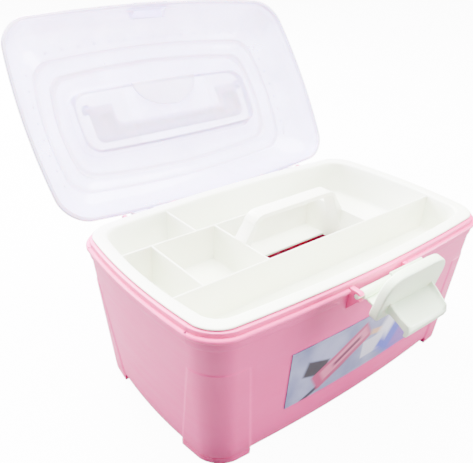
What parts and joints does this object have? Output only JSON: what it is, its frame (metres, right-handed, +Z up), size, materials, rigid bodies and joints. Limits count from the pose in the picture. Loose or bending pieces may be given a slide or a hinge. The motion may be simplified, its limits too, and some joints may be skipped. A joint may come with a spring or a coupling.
{
  "type": "sewing box with lift-out tray",
  "caption": "Rounded plastic sewing box with a divided lift-out tray, a clear domed lid hinged at the back, a folding carry handle and a front latch.",
  "frame": {"origin": "middle of the floor area that the open box takes up, on the surface that it stands on", "axes": "+X to the right seen from the front, +Y from the latch towards the hinge, +Z up"},
  "size_m": [0.346, 0.4036, 0.308],
  "materials": {
    "tub_plastic": "moulded polypropylene, soft sheen",
    "label_film": "printed film, glossy",
    "tray_plastic": "moulded polypropylene, soft sheen",
    "lid_plastic": "clear polypropylene, slightly hazy",
    "handle_plastic": "moulded polypropylene, soft sheen",
    "latch_plastic": "moulded polypropylene, soft sheen"
  },
  "bodies": {
    "tub": {"tub": "tub_plastic", "front_label": "label_film"},
    "tray": {"tray": "tray_plastic"},
    "lid": {"lid": "lid_plastic"},
    "lid_handle": {"lid_handle": "handle_plastic"},
    "latch": {"latch": "latch_plastic"}
  },
  "joints": [
    {"name": "lid_hinge", "type": "hinge", "parent": "tub", "child": "lid", "pos_m": [0, 0.0602, 0.133], "axis": [1, 0, 0], "range_deg": [0, 124]},
    {"name": "handle_pivot", "type": "hinge", "parent": "lid", "child": "lid_handle", "pos_m": [0, 0.1611, 0.2103], "axis": [1, 0, 0], "range_deg": [0, 90]},
    {"name": "latch_pivot", "type": "hinge", "parent": "tub", "child": "latch", "pos_m": [0, -0.1575, 0.132], "axis": [-1, 0, 0], "range_deg": [0, 40.5]},
    {"name": "tray_lift", "type": "slide", "parent": "tub", "child": "tray", "axis": [0, 0, -1], "range_m": [-0.12, 0]}
  ]
}
